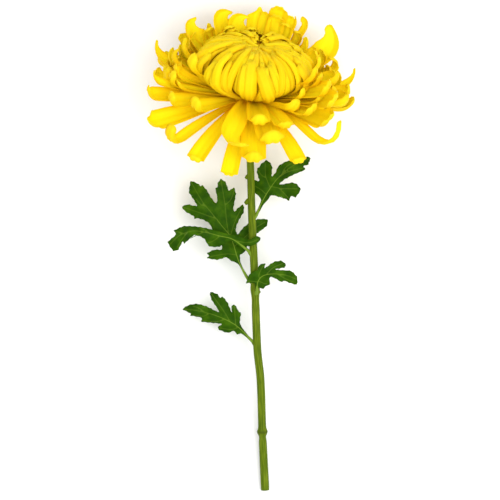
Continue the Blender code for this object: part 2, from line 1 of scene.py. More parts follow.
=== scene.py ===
"""A large incurved chrysanthemum, one cut flower lying on a pale floor, seen from above.

Every piece is made in the frame of its solid model, which is loaded first: the florets of
the bloom, the calyx under it, the stem and the five leaves.  Lengths are in millimetres
until a mesh is made, which is in metres.
"""
import math
import random

import bpy
import numpy as np
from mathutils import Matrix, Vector
from mathutils.geometry import delaunay_2d_cdt


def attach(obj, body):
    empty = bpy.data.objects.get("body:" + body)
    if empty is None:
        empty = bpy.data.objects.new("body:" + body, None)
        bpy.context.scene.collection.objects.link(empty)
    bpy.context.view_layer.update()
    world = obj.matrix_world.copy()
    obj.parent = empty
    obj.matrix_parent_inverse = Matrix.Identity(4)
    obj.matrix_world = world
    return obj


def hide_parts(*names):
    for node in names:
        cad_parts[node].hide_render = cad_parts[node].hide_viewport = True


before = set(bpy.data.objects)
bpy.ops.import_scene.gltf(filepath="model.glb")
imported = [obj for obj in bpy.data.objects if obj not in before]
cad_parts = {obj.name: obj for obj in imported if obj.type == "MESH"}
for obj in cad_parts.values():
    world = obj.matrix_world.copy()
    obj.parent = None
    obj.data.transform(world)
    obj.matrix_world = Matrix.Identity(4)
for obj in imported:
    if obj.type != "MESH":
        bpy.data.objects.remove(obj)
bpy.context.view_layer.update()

# The bloom's florets
# Each is a thin strap, hollowed along its length and furrowed, narrow at its root and
# hooded at its tip.  The inner ones close to a ball, and the outer ones spread round it
# in a skirt and curl up at their ends.  All grow from one small base above the calyx.
METRE = 0.001
BLOOM_TILT = math.radians(25)
BLOOM_LEAN = math.radians(8)
BLOOM_BASE = np.array((-1.0, 90.9, 50.0))
ACROSS = np.array((math.cos(BLOOM_LEAN), -math.sin(BLOOM_LEAN), 0))
AXIS = np.array((math.sin(BLOOM_LEAN), math.cos(BLOOM_LEAN), math.tan(BLOOM_TILT))) * math.cos(BLOOM_TILT)
FRONT = np.cross(ACROSS, AXIS)
BALL_RADIUS = 33.0
BALL_WAIST = 20.0
BALL_TOP = 38.0
BALL_MIDDLE = 17.0
# Powers that make the ball's outline narrow at its foot and full at its side and crown
BALL_FOOT, BALL_SIDE, BALL_CROWN = 1.15, 0.8, 0.9
# The ball's core as a share of the ball, how many sides it has, and the collar under it as
# (radius, rise), which stands on the calyx
CALYX_TOP = -3.3
CORE_SCALE = 0.74
CORE_SIDES = 48
COLLAR = [(9.0, CALYX_TOP + 0.3), (13.0, -1.4), (13.5, 0.6), (12.0, 3.0)]
ROOT_RADIUS = 3.0
ROOT_RISE = 0.5
FLORET_THICK = 0.45
# A floret that would sink into the surface is laid along it: the height of its middle
# there, how far above that it starts to bend, and the least height of any point
PRESSED = 0.9
PRESS_DEPTH = 4.0
SURFACE_GAP = 0.03
# Rows of points along a floret, how many of them come before its tip, and columns across;
# the line of a skirt floret is drawn in several steps for each row
ROWS = 15
BODY_ROWS = 8
COLUMNS = 10
STEPS = 4
# A tip's curl tightens by this power, and an incurved tip is tucked in from this share on
CURL_POWER = 1.3
TUCK_FROM, TUCK_POWER = 0.78, 1.4
# Shares of a floret's length where it is at its widest, starts to taper, starts to hood,
# and starts to round off, and its hollow at the root in radians
WIDE_AT, TAPER_FROM, HOOD_FROM, NOSE_FROM = 0.5, 0.65, 0.6, 0.72
ROOT_HOLLOW = 1.2
# Shares of its half width: furrows, waves of its edges, length of its nose, notches in it
FURROW, WAVE, NOSE, NOTCH = 0.07, 0.05, 0.5, 0.035

# The skirt's florets that are placed one by one.  Each row is the place of the bend
# before the tip as seen from above (across, up), how far it is from the bloom's axis,
# less than 0 where it is behind, then width, bow of the strap, curl of the tip, length of
# the tip, lean of the curl, sweep of the tip to one side, and how far it narrows
SKIRT = [
    (-18.5, 43.5, -40, 16.5, 25, 60, 14, 10, -105, 0.88),
    (-9.0, 42.0, -36, 13.5, 20, 60, 13, 10, -105, 0.88),
    (-34.5, 37.0, -46, 17.0, 25, 50, 14, 0, -85, 0.88),
    (5.0, 47.0, -41, 14.0, 15, 50, 8, 0, 0, 0.80),
    (10.5, 45.5, -39, 9.0, 15, 100, 8, -20, 0, 0.40),
    (17.0, 48.5, -43, 12.0, 15, 110, 9, 0, 0, 0.20),
    (15.6, 43.0, -37, 11.0, 15, 120, 10, 0, 0, 0.20),
    (24.0, 43.5, -43, 8.5, 15, 110, 8, 0, 0, 0.30),
    (28.0, 42.0, -46, 6.0, 10, 50, 8, -60, 0, 0.80),
    (33.5, 40.0, -48, 7.5, 15, 60, 10, -30, 60, 0.50),
    (-26.0, 34.0, -39, 11.0, 20, 120, 11, 10, 0, 0.35),
    (-14.0, 36.5, -33, 11.0, 20, 130, 11, 0, 0, 0.30),
    (0.0, 36.0, -30, 11.0, 20, 130, 11, 0, 0, 0.30),
    (21.0, 38.0, -37, 10.5, 20, 130, 11, 0, 0, 0.30),
    (29.5, 33.0, -41, 10.0, 20, 130, 10, -20, 0, 0.30),
    (-49.0, 21.0, -54, 9.0, 20, 75, 17, -10, -30, 0.75),
    (-43.5, 19.5, -48, 8.0, 20, 130, 12, 0, 0, 0.45),
    (-36.5, 20.0, -42, 13.0, 15, 90, 11, -20, 0, 0.45),
    (-52.0, 8.0, 56, 8.0, 15, 85, 13, -15, -20, 0.80),
    (-55.0, 0.0, 58, 13.5, 10, 100, 13, -15, 0, 0.65),
    (-44.0, 8.0, 48, 12.0, 10, 120, 12, -20, 0, 0.35),
    (-54.0, -15.0, 59, 15.0, 0, 80, 11, -25, 0, 0.65),
    (-43.2, -3.6, 50, 12.0, 5, 110, 13, -25, 0, 0.35),
    (-30.0, -7.5, 45, 12.0, 0, 110, 13, -15, 0, 0.25),
    (-40.0, -25.0, 56, 9.5, -10, 150, 22, 0, 0, 0.20),
    (-31.5, -37.5, 57, 12.0, -20, 120, 5, 0, 0, 0.15),
    (-12.0, -45.0, 53, 10.5, -35, 80, 4, 0, 0, 0.10),
    (-9.5, -21.0, 48, 13.0, -35, 75, 22, -30, 80, 0.10),
    (1.5, -36.0, 52, 15.5, -30, 145, 13, 0, 0, 0.30),
    (4.8, -16.0, 44, 14.0, -25, 130, 10, 0, 0, 0.30),
    (11.5, -26.0, 50, 17.0, -30, 140, 12, 10, 0, 0.15),
    (19.0, -18.0, 46, 13.0, -20, 90, 8, 0, 0, 0.20),
    (27.5, -38.5, 55, 12.0, -20, 120, 5, 0, 0, 0.15),
    (34.5, -22.5, 53, 8.5, -25, 125, 39, 0, 0, 0.55),
    (42.0, -14.5, 52, 19.0, 0, 70, 10, 25, 0, 0.20),
    (46.0, -4.5, 54, 18.0, 0, 70, 9, 25, 0, 0.20),
    (43.5, 2.5, 50, 16.0, 5, 70, 9, 25, 0, 0.25),
    (34.5, -9.5, 48, 15.0, 0, 80, 9, 20, 0, 0.25),
    (55.0, -4.5, -58, 10.0, 5, 100, 10, 15, 0, 0.40),
    (52.5, 6.0, -57, 8.0, 15, 85, 18, 0, 20, 0.75),
    (46.0, 13.0, -51, 8.5, 20, 160, 19, 0, 0, 0.35),
    (43.0, 11.0, -46, 12.5, 15, 120, 12, 10, 0, 0.35),
    (41.5, 25.0, -49, 16.0, 15, 35, 22, 20, 75, 0.65),
    (41.0, 20.0, -46, 11.0, 20, 110, 11, 0, 0, 0.35),
    (35.0, 8.5, 38, 11.0, 15, 70, 12, 0, 0, 0.45),
    (28.2, -1.5, 37, 7.0, 10, 90, 10, 0, 0, 0.35),
    (21.6, -8.0, 38, 11.0, 5, 100, 11, -30, 0, 0.35),
]
# Laid flat, a skirt floret is wider than it looks from above
FLAT_WIDER = 1.1
# Rows of florets behind the ball: first and last azimuth, florets, reach, rise
TIERS = [
    (104, 256, 14, 57.0, -3.0),
    (76, 284, 18, 49.0, 6.0),
    (72, 288, 18, 45.0, 14.0),
    (60, 300, 13, 40.0, 9.0),
    (66, 294, 11, 37.0, 20.0),
]
# Rings of the ball: florets, scale, where they start and end along its outline, width
RINGS = [
    (12, 1.08, 0.06, 0.74, 8.2),
    (20, 1.03, 0.06, 0.80, 7.2),
    (24, 0.98, 0.12, 0.86, 6.6),
    (25, 0.94, 0.22, 0.90, 6.0),
    (22, 0.90, 0.35, 0.94, 5.4),
    (17, 0.86, 0.50, 0.97, 4.8),
    (12, 0.83, 0.60, 0.99, 4.2),
    (6, 0.80, 0.70, 1.00, 4.0),
]
# How far the florets of a ring differ, in the outer rings and in the inner ones
OUTER_RINGS = 3
OUTER_SPREAD, INNER_SPREAD = 0.08, 0.04
# Florets in front of the ball placed one by one: azimuth, swirl, scale, end, width
FOREMOST = [
    (36, -28, 1.16, 0.70, 10.5),
    (-22, -20, 1.16, 0.56, 9.0),
    (2, -6, 1.12, 0.76, 11.0),
    (66, -4, 1.17, 0.68, 9.5),
    (-52, 4, 1.13, 0.64, 8.0),
    (-78, 6, 1.14, 0.76, 8.0),
]


def smooth(x, start=0.0, end=1.0):
    """Rise evenly from 0 to 1 as x goes from start to end."""
    x = np.clip((x - start) / (end - start), 0.0, 1.0)
    return x * x * (3 - 2 * x)


def unit(v):
    """Give vectors their length of 1."""
    return v / np.linalg.norm(v, axis=-1, keepdims=True)


def turn_about(v, axis, angle):
    """Turn a vector about a unit axis."""
    c, s = math.cos(angle), math.sin(angle)
    return v * c + np.cross(axis, v) * s + axis * np.dot(axis, v) * (1 - c)


def outward(azimuth):
    """Give the direction away from the bloom's axis at an azimuth."""
    return FRONT * math.cos(azimuth) + ACROSS * math.sin(azimuth)


def press(points):
    """Lay what would sink into the surface along it."""
    sunk = np.maximum(PRESSED + PRESS_DEPTH - points[:, 2], 0)
    points[:, 2] += sunk - PRESS_DEPTH * np.tanh(sunk / PRESS_DEPTH)
    return points


def ball_outline(t):
    """Give reach and rise on the ball's outline: 0 is its base, 0.5 its waist, 1 its pole."""
    if t < 0.5:
        return BALL_RADIUS * math.sin(math.pi * t) ** BALL_FOOT, BALL_WAIST * 2 * t
    turn = (t - 0.5) * math.pi
    reach = BALL_RADIUS * max(0.0, math.cos(turn)) ** BALL_SIDE
    return reach, BALL_WAIST + (BALL_TOP - BALL_WAIST) * math.sin(turn) ** BALL_CROWN


def ball_line(azimuth, scale, start, end, swirl, tuck):
    """Give the line of an incurved floret, which way it heads, and the side it is hollow on."""
    line = []
    for along in np.linspace(0, 1, ROWS + 1):
        reach, rise = ball_outline(start + (end - start) * along)
        size = scale - tuck * float(smooth(along, TUCK_FROM)) ** TUCK_POWER
        way = outward(azimuth + swirl * along)
        line.append(BLOOM_BASE + way * reach * size + AXIS * (BALL_MIDDLE + (rise - BALL_MIDDLE) * size))
    line = press(np.array(line))
    ahead = unit(np.gradient(line, axis=0))
    inward = BLOOM_BASE + AXIS * BALL_MIDDLE - line
    across = unit(np.cross(ahead, inward))
    return line, ahead, unit(np.cross(across, ahead))


def skirt_line(azimuth, reach, rise, bow, curl, tip, lean, sweep):
    """Give the line of a skirt floret: a bowed strap, then a tip that curls inward."""
    run, climb = reach - ROOT_RADIUS, rise - ROOT_RISE
    chord, heading = math.hypot(run, climb), math.atan2(climb, run)
    bow, curl, lean, sweep = (math.radians(angle) for angle in (bow, curl, lean, sweep))
    strap = chord * (bow / 2) / math.sin(bow / 2) if bow else chord
    heading -= bow / 2
    out = outward(azimuth)
    ahead = out * math.cos(heading) + AXIS * math.sin(heading)
    inward = AXIS * math.cos(heading) - out * math.sin(heading)
    point = BLOOM_BASE + out * ROOT_RADIUS + AXIS * ROOT_RISE
    rows = [(point, ahead, inward)]
    body, end = BODY_ROWS * STEPS, (ROWS - BODY_ROWS) * STEPS
    for step in range(body + end):
        if step < body:
            length, bend, roll, turn = strap / body, bow / body, lean / body, 0
        else:
            share = ((step - body + 1) / end) ** CURL_POWER - ((step - body) / end) ** CURL_POWER
            length, bend, roll, turn = tip / end, curl * share, 0, sweep * share
        inward = turn_about(inward, ahead, roll)
        ahead = turn_about(ahead, inward, turn)
        across = np.cross(ahead, inward)
        point = point + ahead * length
        ahead = turn_about(ahead, across, bend)
        inward = turn_about(inward, across, bend)
        if (step + 1) % STEPS == 0:
            rows.append((point, ahead, inward))
    line, aheads, inwards = (np.array(column) for column in zip(*rows))
    return press(line), aheads, inwards


def strap_points(line, ahead, inward, width, chance, root=0.4, hood=1.15, middle=0.8, taper=0.3):
    """Give a floret's points row by row, those of its inner face and then of its outer face."""
    u = np.linspace(0, 1, ROWS + 1)[:, None]
    v = np.linspace(-1, 1, COLUMNS + 1)[None, :]
    across = np.cross(ahead, inward)
    half = width / 2 * (root + (1 - root) * smooth(u, 0, WIDE_AT)) * (1 - taper * smooth(u, TAPER_FROM))
    hollow = ROOT_HOLLOW + (middle - ROOT_HOLLOW) * smooth(u, 0, 0.3) + (hood - middle) * smooth(u, HOOD_FROM)
    phase = chance.uniform(0, math.tau)
    furrow = FURROW * half * np.cos(3 * math.pi * v) * smooth(u, 0, 0.2)
    side = half / hollow * np.sin(hollow * v)
    deep = half / hollow * (1 - np.cos(hollow * v)) + WAVE * half * np.sin(7 * u + phase) * v ** 2
    edge = NOSE * (1 - v ** 2) + NOTCH * np.cos(3 * math.pi * v + 0.6 * math.sin(phase))
    forward = half * smooth(u, NOSE_FROM) ** 2 * edge
    turn = (hollow * v)[..., None]
    normal = inward[:, None] * np.cos(turn) - across[:, None] * np.sin(turn)
    middle_face = line[:, None] + across[:, None] * side[..., None] + inward[:, None] * deep[..., None]
    middle_face = middle_face + ahead[:, None] * forward[..., None] + normal * furrow[..., None]
    thick = FLORET_THICK * (1 - 0.45 * v ** 2) * (1 - 0.3 * u)
    lift = normal * thick[..., None] / 2
    return np.concatenate([(middle_face + lift).reshape(-1, 3), (middle_face - lift).reshape(-1, 3)])


def sheet_faces(rows, columns):
    """List the faces of a closed thin sheet whose two sides have rows by columns."""
    wide = columns + 1
    size = (rows + 1) * wide
    faces = []
    for row in range(rows):
        for column in range(columns):
            here = row * wide + column
            upper = (here, here + 1, here + wide + 1, here + wide)
            faces.append(upper)
            faces.append(tuple(corner + size for corner in reversed(upper)))
    rim = list(range(wide))
    rim += [row * wide + columns for row in range(1, rows + 1)]
    rim += [rows * wide + column for column in range(columns - 1, -1, -1)]
    rim += [row * wide for row in range(rows - 1, 0, -1)]
    for start, end in zip(rim, rim[1:] + rim[:1]):
        faces.append((end, start, start + size, end + size))
    return faces


def ring_faces(rows, sides):
    """List the faces of a closed form whose points lie in rings, one row after another."""
    faces = []
    for row in range(rows - 1):
        for side in range(sides):
            here, there = row * sides + side, row * sides + (side + 1) % sides
            faces.append((here, there, there + sides, here + sides))
    faces.append(tuple(range(sides))[::-1])
    faces.append(tuple(range((rows - 1) * sides, rows * sides)))
    return faces


def floret_list():
    """List every floret of the bloom as its points and a random value."""
    chance = random.Random(11)
    florets = []

    def add(line, width, **shape):
        points = strap_points(*line, width, chance, **shape)
        florets.append((points, chance.random()))

    for across, up, reach, width, bow, curl, tip, lean, sweep, taper in SKIRT:
        aside = np.dot((across, up, 0), ACROSS)
        beyond = np.dot((across, up, 0), AXIS) / math.cos(BLOOM_TILT)
        toward = math.copysign(math.sqrt(max(0, reach ** 2 - aside ** 2)), reach)
        rise = (beyond + toward * math.sin(BLOOM_TILT)) / math.cos(BLOOM_TILT)
        add(
            skirt_line(math.atan2(aside, toward), abs(reach), rise, bow, curl, tip, lean, sweep),
            width * FLAT_WIDER, middle=1.0, hood=0.55 + 0.9 * taper, taper=taper,
        )
    for first, last, count, reach, rise in TIERS:
        for number in range(count):
            share = (number + chance.uniform(-0.25, 0.25)) / (count - 1)
            azimuth = math.radians(first + (last - first) * share)
            add(skirt_line(
                azimuth,
                reach=reach + chance.uniform(-4, 4),
                rise=rise + chance.uniform(-3, 3),
                bow=chance.uniform(0, 22),
                curl=chance.uniform(60, 125),
                tip=chance.uniform(9, 15),
                lean=chance.uniform(-35, 35),
                sweep=chance.uniform(-40, 40),
            ), chance.uniform(10, 14), middle=1.0, taper=chance.uniform(0.25, 0.7))
    for ring, (count, scale, start, end, width) in enumerate(RINGS):
        spread = OUTER_SPREAD if ring < OUTER_RINGS else INNER_SPREAD
        for number in range(count):
            azimuth = math.tau * (number + 0.5 * (ring % 2) + chance.uniform(-0.15, 0.15)) / count
            add(ball_line(
                azimuth,
                scale=scale + spread * chance.uniform(-0.4, 1.0),
                start=start,
                end=end + spread * chance.uniform(-1.7, 0.8),
                swirl=math.radians(chance.uniform(-13, 13)),
                tuck=chance.uniform(0.03, 0.09),
            ), width * chance.uniform(0.85, 1.15), root=0.5, hood=1.35, middle=1.15, taper=0.3)
    for azimuth, swirl, scale, end, width in FOREMOST:
        line = ball_line(math.radians(azimuth), scale, 0.04, end, math.radians(swirl), 0.08)
        add(line, width, root=0.5, hood=1.2, middle=1.1, taper=0.08)
    return florets


def turned(outline, sides):
    """Turn an outline of (radius, rise) about the bloom's axis and close its ends."""
    points = []
    for radius, rise in outline:
        for side in range(sides):
            points.append(BLOOM_BASE + outward(math.tau * side / sides) * radius + AXIS * rise)
    return points, ring_faces(len(outline), sides)


def core_shape():
    """Give the bloom's core: the crowded roots of the florets, a small ball on a collar."""
    outline = list(COLLAR)
    for t in np.linspace(0.2, 1.0, 12):
        reach, rise = ball_outline(t)
        outline.append((max(reach * CORE_SCALE, 0.5), BALL_MIDDLE + (rise - BALL_MIDDLE) * CORE_SCALE))
    return turned(outline, CORE_SIDES)


def joined(parts):
    """Join forms, each given as its points and faces, into one."""
    points, faces = [], []
    for part_points, part_faces in parts:
        faces += [tuple(corner + len(points) for corner in face) for face in part_faces]
        points += list(part_points)
    return np.array(points), faces


def add_object(name, data):
    """Add an object to the scene."""
    added = bpy.data.objects.new(name, data)
    bpy.context.scene.collection.objects.link(added)
    return added


def solid_from(name, points, faces):
    """Make an object in metres from points in millimetres, shaded smooth."""
    mesh = bpy.data.meshes.new(name)
    mesh.from_pydata((points * METRE).tolist(), [], faces)
    mesh.shade_smooth()
    return add_object(name, mesh)


def set_map(mesh, name, values):
    """Give each point of a mesh two numbers, kept as a named map."""
    corners = np.empty(len(mesh.loops), dtype=np.int32)
    mesh.loops.foreach_get("vertex_index", corners)
    layer = mesh.uv_layers.new(name=name)
    layer.uv.foreach_set("vector", np.asarray(values, dtype=np.float32)[corners].ravel())


def sheet_places(rows, columns, count, left=0.0):
    """Give the places across and along a sheet, on both sides of each of several sheets."""
    u, v = np.meshgrid(np.linspace(0, 1, rows + 1), np.linspace(left, 1, columns + 1), indexing="ij")
    return np.tile(np.column_stack([v.ravel(), u.ravel()]), (2 * count, 1))


def make_bloom():
    """Build the bloom as one piece from all of its florets and its core."""
    florets = floret_list()
    faces = sheet_faces(ROWS, COLUMNS)
    core = core_shape()
    points, faces = joined([(floret, faces) for floret, _ in florets] + [core])
    points[:, 2] = np.maximum(points[:, 2], SURFACE_GAP)
    bloom = solid_from("bloom_florets", points, faces)
    places = sheet_places(ROWS, COLUMNS, len(florets))
    core_place = np.tile((0.0, 0.1), (len(core[0]), 1))
    set_map(bloom.data, "strap", np.concatenate([places, core_place]))
    # A random value for each floret, and 1 on its inner face and 0 on its outer face
    sides = [(value, inner) for _, value in florets for inner in (1.0, 0.0)]
    sides = np.repeat(sides, (ROWS + 1) * (COLUMNS + 1), axis=0)
    set_map(bloom.data, "chance", np.concatenate([sides, 0 * core_place]))
    return bloom


def feed(tree, socket, value):
    """Give a socket its value: a constant, or the output that feeds it."""
    if isinstance(value, bpy.types.NodeSocket):
        tree.links.new(value, socket)
    else:
        socket.default_value = value


def add_node(tree, kind, **inputs):
    """Add a node to a tree and feed its inputs, by name or, as _0 and _1, by number."""
    node = tree.nodes.new("ShaderNode" + kind)
    for name, value in inputs.items():
        feed(tree, node.inputs[int(name[1:]) if name[0] == "_" else name.replace("_", " ")], value)
    return node


def new_material(name, roughness, specular):
    """Start a material with its Principled shader, and give both and the tree."""
    material = bpy.data.materials.new(name)
    material.use_nodes = True
    tree = material.node_tree
    shader = tree.nodes["Principled BSDF"]
    shader.inputs["Roughness"].default_value = roughness
    shader.inputs["Specular IOR Level"].default_value = specular
    return material, tree, shader


def ramp(tree, value, stops):
    """Add a colour ramp with stops of (place, colour)."""
    node = add_node(tree, "ValToRGB", Fac=value)
    elements = node.color_ramp.elements
    while len(elements) < len(stops):
        elements.new(0.5)
    for element, (place, colour) in zip(elements, stops):
        element.position = place
        element.color = (*colour, 1)
    return node.outputs["Color"]


def map_of(tree, name):
    """Read a named map: both its numbers as one place, and each of them."""
    node = tree.nodes.new("ShaderNodeUVMap")
    node.uv_map = name
    split = add_node(tree, "SeparateXYZ", Vector=node.outputs["UV"])
    return node.outputs["UV"], split.outputs["X"], split.outputs["Y"]


def mix_colour(tree, factor, first, second, blend="MIX"):
    """Mix two colours by a factor."""
    node = tree.nodes.new("ShaderNodeMix")
    node.data_type = "RGBA"
    node.blend_type = blend
    sockets = {socket.identifier: socket for socket in (*node.inputs, *node.outputs)}
    feed(tree, sockets["Factor_Float"], factor)
    feed(tree, sockets["A_Color"], first)
    feed(tree, sockets["B_Color"], second)
    return sockets["Result_Color"]


def maths(tree, operation, first, second=0.0):
    """Add a sum of two numbers or outputs."""
    node = add_node(tree, "Math", _0=first, _1=second)
    node.operation = operation
    return node.outputs[0]


def slide(tree, value, start, end, low=0.0, high=1.0):
    """Turn a value that goes from start to end into one that goes from low to high."""
    node = add_node(tree, "MapRange", Value=value, From_Min=start, From_Max=end, To_Min=low, To_Max=high)
    return node.outputs[0]


def add_bump(tree, shader, height, strength, depth):
    """Raise a surface by a height in its shader, and give the normal."""
    bump = add_node(tree, "Bump", Strength=strength, Distance=depth, Height=height)
    tree.links.new(bump.outputs["Normal"], shader.inputs["Normal"])
    return bump.outputs["Normal"]


def streak_group():
    """Make an effect for several finishes: fine streaks along a surface, as a value."""
    group = bpy.data.node_groups.new("streaks", "ShaderNodeTree")
    for name in ("Place", "Stretch", "Shift"):
        group.interface.new_socket(name, in_out="INPUT", socket_type="NodeSocketVector")
    group.interface.new_socket("Streak", in_out="OUTPUT", socket_type="NodeSocketFloat")
    given = group.nodes.new("NodeGroupInput").outputs
    stretched = add_node(group, "VectorMath", _0=given["Place"], _1=given["Stretch"])
    stretched.operation = "MULTIPLY"
    spot = add_node(group, "VectorMath", _0=stretched.outputs[0], _1=given["Shift"])
    noise = add_node(group, "TexNoise", Vector=spot.outputs[0], Scale=1.0, Detail=3.0)
    group.links.new(noise.outputs["Fac"], group.nodes.new("NodeGroupOutput").inputs["Streak"])
    return group


STREAKS = streak_group()


def streak_of(tree, place, stretch, shift=(0.0, 0.0, 0.0)):
    """Add the streaks at a place of a map, stretched, and moved by a shift."""
    node = tree.nodes.new("ShaderNodeGroup")
    node.node_tree = STREAKS
    for name, value in (("Place", place), ("Stretch", stretch), ("Shift", shift)):
        feed(tree, node.inputs[name], value)
    return node.outputs["Streak"]


def floret_finish():
    """Make the florets' finish: lemon at the tips, gold at the roots, finely streaked, with painted shade
    that turns the rims and outer faces golder.
    """
    material, tree, shader = new_material("floret", 0.6, 0.06)
    place, across, along = map_of(tree, "strap")
    _, chance, inner_face = map_of(tree, "chance")
    gold = ramp(tree, along, [
        (0.0, (0.97, 0.56, 0.001)),
        (0.25, (0.99, 0.82, 0.002)),
        (0.70, (0.99, 0.88, 0.003)),
        (1.0, (0.99, 0.91, 0.02)),
    ])
    # Painted shade: the outer faces are tinted golder than the inner ones, more so on some florets at random
    backs_painted_shade = mix_colour(tree, 1.0, gold, (1.0, 0.90, 0.6, 1), "MULTIPLY")
    backs_painted_shade = mix_colour(tree, maths(tree, "MULTIPLY", chance, 0.5), backs_painted_shade, (0.98, 0.56, 0.001, 1))
    gold = mix_colour(tree, inner_face, backs_painted_shade, gold)
    shift = maths(tree, "MULTIPLY", chance, 40.0)
    streak = streak_of(tree, place, (16.0, 1.2, 1.0), shift)
    lively = mix_colour(tree, maths(tree, "MULTIPLY", streak, 0.35), gold, (1.0, 0.86, 0.03, 1))
    # Painted shade in the crevices between florets: towards their rims the florets are mixed to orange gold
    aside = maths(tree, "ABSOLUTE", maths(tree, "SUBTRACT", across, 0.5))
    rim = slide(tree, aside, 0.28, 0.5, 0.0, 0.6)
    colour = mix_colour(tree, rim, lively, (0.97, 0.62, 0.001, 1))
    tree.links.new(colour, shader.inputs["Base Color"])
    normal = add_bump(tree, shader, streak, 0.25, 0.0004)
    through = add_node(tree, "BsdfTranslucent", Color=colour, Normal=normal)
    blend = add_node(tree, "MixShader", Fac=0.33, _1=shader.outputs[0], _2=through.outputs[0])
    tree.links.new(blend.outputs[0], tree.nodes["Material Output"].inputs["Surface"])
    return material


bloom = make_bloom()
bloom.data.materials.append(floret_finish())
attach(bloom, "root")
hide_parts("bloom")

# The calyx
# A shallow green cup that holds the florets, covered by three rows of small overlapping
# bracts, each with a thin pale edge.  It grows on the swollen end of the stem.
CALYX_DEPTH = 9.0
CALYX_SIDES = 40
# The cup's outline as (radius, how far below the calyx's top)
CUP = [(2.9, CALYX_DEPTH), (4.3, 8.0), (6.0, 6.2), (7.9, 3.6), (8.9, 1.2), (8.8, 0.0)]
# Bracts, where a row starts and ends as (radius, rise), and half width
BRACTS = [
    (11, (3.4, -8.9), (8.3, -5.4), 1.9),
    (13, (5.2, -7.4), (9.8, -3.2), 2.1),
    (15, (7.0, -5.4), (11.2, -0.9), 2.1),
]
BRACT_ROWS, BRACT_COLUMNS = 9, 6
BRACT_THICK = 0.36
BRACT_BULGE = 0.9


def bract_points(azimuth, first, last, half):
    """Give a bract's points: a small keeled scale that narrows to a blunt tip."""
    out = outward(azimuth)
    aside = np.cross(AXIS, out)
    slope = unit(out * 0.75 - AXIS * 0.65)
    points = []
    for lift in (BRACT_THICK / 2, -BRACT_THICK / 2):
        for u in np.linspace(0, 1, BRACT_ROWS + 1):
            radius = first[0] + (last[0] - first[0]) * u
            rise = CALYX_TOP + first[1] + (last[1] - first[1]) * u + BRACT_BULGE * math.sin(math.pi * u)
            wide = half * (0.7 + 0.6 * u) * (1 - u ** 3) ** 0.6 + 0.05
            for v in np.linspace(-1, 1, BRACT_COLUMNS + 1):
                keel = 0.3 * (1 - abs(v)) - 0.21 * v * v + lift * (1 - 0.6 * u)
                points.append(BLOOM_BASE + out * radius + AXIS * rise + aside * wide * v + slope * keel)
    return points


def make_calyx():
    """Build the cup and its bracts as one piece."""
    cup = turned([(radius, CALYX_TOP - below) for radius, below in CUP], CALYX_SIDES)
    faces = sheet_faces(BRACT_ROWS, BRACT_COLUMNS)
    bracts = []
    for row, (count, first, last, half) in enumerate(BRACTS):
        for number in range(count):
            azimuth = math.tau * (number + 0.5 * (row % 2)) / count
            bracts.append((bract_points(azimuth, first, last, half), faces))
    calyx = solid_from("calyx_bracts", *joined([cup] + bracts))
    places = np.abs(sheet_places(BRACT_ROWS, BRACT_COLUMNS, len(bracts), left=-1.0))
    set_map(calyx.data, "scale", np.concatenate([np.tile((0.0, 0.2), (len(cup[0]), 1)), places]))
    return calyx


def calyx_finish():
    """Make the bracts' finish: leaf green, paler towards their thin edges and tips."""
    material, tree, shader = new_material("calyx", 0.55, 0.3)
    _, aside, along = map_of(tree, "scale")
    colour = ramp(tree, maths(tree, "MAXIMUM", aside, along), [
        (0.0, (0.10, 0.20, 0.022)),
        (0.7, (0.16, 0.28, 0.04)),
        (0.9, (0.34, 0.42, 0.11)),
        (1.0, (0.52, 0.50, 0.22)),
    ])
    tree.links.new(colour, shader.inputs["Base Color"])
    return material


calyx = make_calyx()
calyx.data.materials.append(calyx_finish())
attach(calyx, "root")
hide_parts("calyx")

# The stem
# One slim green stalk, finely ribbed along its length, with a ring at its lower node, a
# few dormant buds in the scars of leaves, and a clean cut at its foot.
NECK = BLOOM_BASE + AXIS * (CALYX_TOP - CALYX_DEPTH - 0.3)
# Centre line and radius, from the bloom to the cut end
STEM = [
    (NECK[0], NECK[1], NECK[2], 2.9),
    (-2.2, 75.5, 42.7, 2.4),
    (-1.5, 68.0, 39.7, 2.2),
    (-0.7, 50.7, 35.2, 2.2),
    (0.2, 19.5, 29.3, 2.3),
    (1.9, -18.0, 22.8, 2.4),
    (3.5, -60.3, 16.0, 2.4),
    (5.4, -78.3, 13.1, 2.4),
    (6.5, -110.1, 7.9, 2.4),
    (8.2, -145.5, 2.2, 2.5),
]
STEM_STATIONS = 210
STEM_SIDES = 36
STEM_GAP = 0.02
# Ribs round the stem, and their height as a share of its radius
RIBS = 6
RIB_HEIGHT = 0.012
# Knuckles: place along the stem, length, how far it swells; below each runs a groove
KNUCKLES = [(-110.1, 1.6, 0.85), (-24.0, 3.0, 0.45)]
GROOVE_BELOW, GROOVE_SHARE = 2.2, 0.35
# Up the stem, turn round it from the right, size, how far out
BUDS = [
    (28.5, 175, 1.7, 2.8),
    (43.5, 180, 1.36, 2.4),
    (-25.5, 0, 1.19, 2.2),
    (-56.5, 165, 1.105, 2.2),
]
BUD_RINGS, BUD_SIDES = 8, 12
# The stem's map counts its length in units of 100 mm
MAP_UNIT = 100


def stem_at(up):
    """Give the stem's centre and radius at a place along it, by a smooth curve."""
    last = len(STEM) - 2
    for row in range(last + 1):
        if up >= STEM[row + 1][1] or row == last:
            break
    a, b, c, d = (STEM[min(max(i, 0), len(STEM) - 1)] for i in (row - 1, row, row + 1, row + 2))
    t = (up - b[1]) / (c[1] - b[1])
    values = []
    for k in (0, 2, 3):
        slope_b = (c[k] - a[k]) / (c[1] - a[1]) * (c[1] - b[1])
        slope_c = (d[k] - b[k]) / (d[1] - b[1]) * (c[1] - b[1])
        value = b[k] * (1 + 2 * t) * (1 - t) ** 2 + c[k] * t * t * (3 - 2 * t)
        value += slope_b * t * (1 - t) ** 2 - slope_c * t * t * (1 - t)
        values.append(value)
    return np.array((values[0], up, values[1])), values[2]


